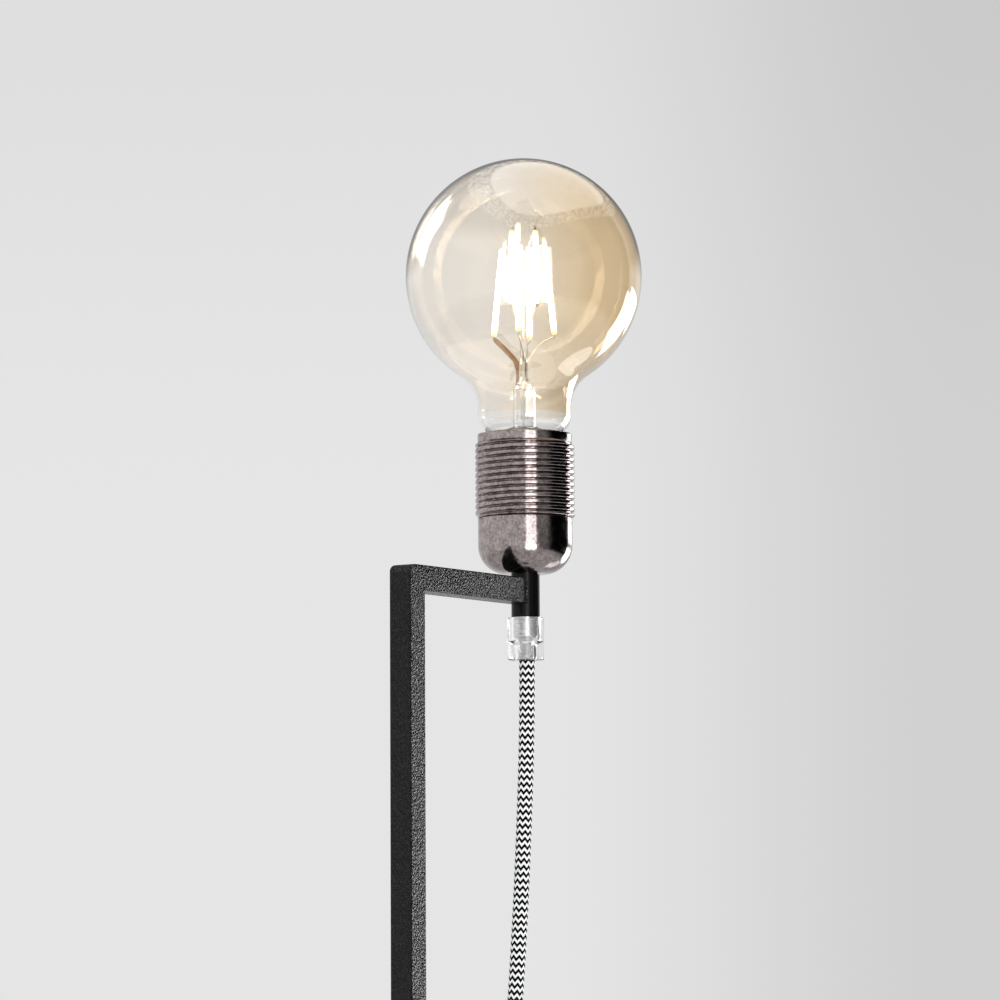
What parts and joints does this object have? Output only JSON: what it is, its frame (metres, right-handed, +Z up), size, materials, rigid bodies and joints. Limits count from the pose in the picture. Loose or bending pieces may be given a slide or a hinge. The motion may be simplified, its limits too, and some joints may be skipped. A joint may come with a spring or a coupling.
{
  "type": "floor lamp",
  "caption": "Slim floor lamp: square bar upright on a plate, short arm, bare metal lampholder with a shade thread, globe filament bulb, textile cord with rocker switch and plug.",
  "frame": {"origin": "on the floor at the centre of the square base plate", "axes": "+Z up along the upright, +X along the arm from the upright to the lampholder, +Y to the side on which the coiled cord lies"},
  "size_m": [0.287, 0.4303, 1.4498],
  "materials": {
    "powder_black": "fine textured powder coat, matt black",
    "weld_black": "textured powder coat over a weld",
    "sleeve_black": "smooth satin black",
    "pad_felt": "matt",
    "zinc_steel": "bright zinc",
    "pearl_nickel": "polished black-pearl nickel",
    "ceramic_white": "glazed",
    "brass": "bright",
    "nickel": "bright nickel",
    "wire_brown": "smooth insulation",
    "wire_earth": "smooth insulation",
    "clear_plastic": "clear moulded plastic",
    "glass_amber": "amber-tinted blown glass",
    "glass_clear": "clear glass",
    "insulator_black": "moulded glass-like insulator",
    "filament_glow": "glowing warm white",
    "copper_strip": "dull copper",
    "board_green": "varnished board",
    "chip_black": "moulded",
    "cord_textile": "black and white braided textile",
    "tie_black": "matt",
    "black_plastic": "finely grained",
    "rubber_black": "matt"
  },
  "bodies": {
    "lamp": {"base_plate": "powder_black", "base_pads": "pad_felt", "flange_screws": "zinc_steel", "foot_flange": "powder_black", "foot_weld": "weld_black", "upright_bar": "powder_black", "arm_bar": "powder_black", "arm_weld": "weld_black", "holder_sleeve": "sleeve_black", "threaded_nipple": "zinc_steel", "nipple_nut": "zinc_steel", "holder_cup": "pearl_nickel", "holder_skirt": "pearl_nickel", "holder_core": "ceramic_white", "core_collar": "ceramic_white", "screw_shell": "brass", "centre_contact": "brass", "terminal_blocks": "brass", "terminal_screws": "zinc_steel", "earth_terminal": "zinc_steel", "holder_wires": "wire_brown", "earth_wire": "wire_earth", "cord_grip": "clear_plastic", "grip_screw": "clear_plastic", "cord_hang": "cord_textile", "cord_drop": "cord_textile", "cord_coil": "cord_textile", "cord_tail": "cord_textile", "coil_tie": "tie_black", "switch_back": "black_plastic", "switch_front": "black_plastic", "switch_screws": "zinc_steel", "switch_contacts": "brass", "switch_clamps": "black_plastic", "switch_wires": "wire_brown", "plug_boot": "rubber_black", "plug_body": "black_plastic", "plug_pins": "nickel", "plug_clips": "nickel"},
    "bulb_button": {"bulb_button": "nickel"},
    "bulb": {"bulb_glass": "glass_amber", "bulb_cap": "nickel", "bulb_insulator": "insulator_black", "bulb_stem": "glass_clear", "exhaust_tube": "glass_clear", "filament_post": "glass_clear", "led_filaments": "filament_glow", "support_wires": "nickel", "filament_strip": "copper_strip", "bulb_lead_wires": "nickel", "driver_board": "board_green", "driver_parts": "chip_black"},
    "rocker": {"switch_rocker": "black_plastic"}
  },
  "joints": [
    {"name": "bulb_lift", "type": "slide", "parent": "lamp", "child": "bulb_button", "axis": [0, 0, 1], "range_m": [0, 0.02]},
    {"name": "bulb_turn", "type": "hinge", "parent": "bulb_button", "child": "bulb", "pos_m": [0.0405, 0, 1.31], "axis": [0, 0, 1], "range_deg": [0, 1980]},
    {"name": "rocker_tilt", "type": "hinge", "parent": "lamp", "child": "rocker", "pos_m": [0.028, 0.049, 0.498], "axis": [-1, 0, 0], "range_deg": [0, 14]}
  ],
  "couplings": [
    {"joint": "bulb_lift", "follows": "bulb_turn", "m_per_rad": 0.00057757}
  ]
}
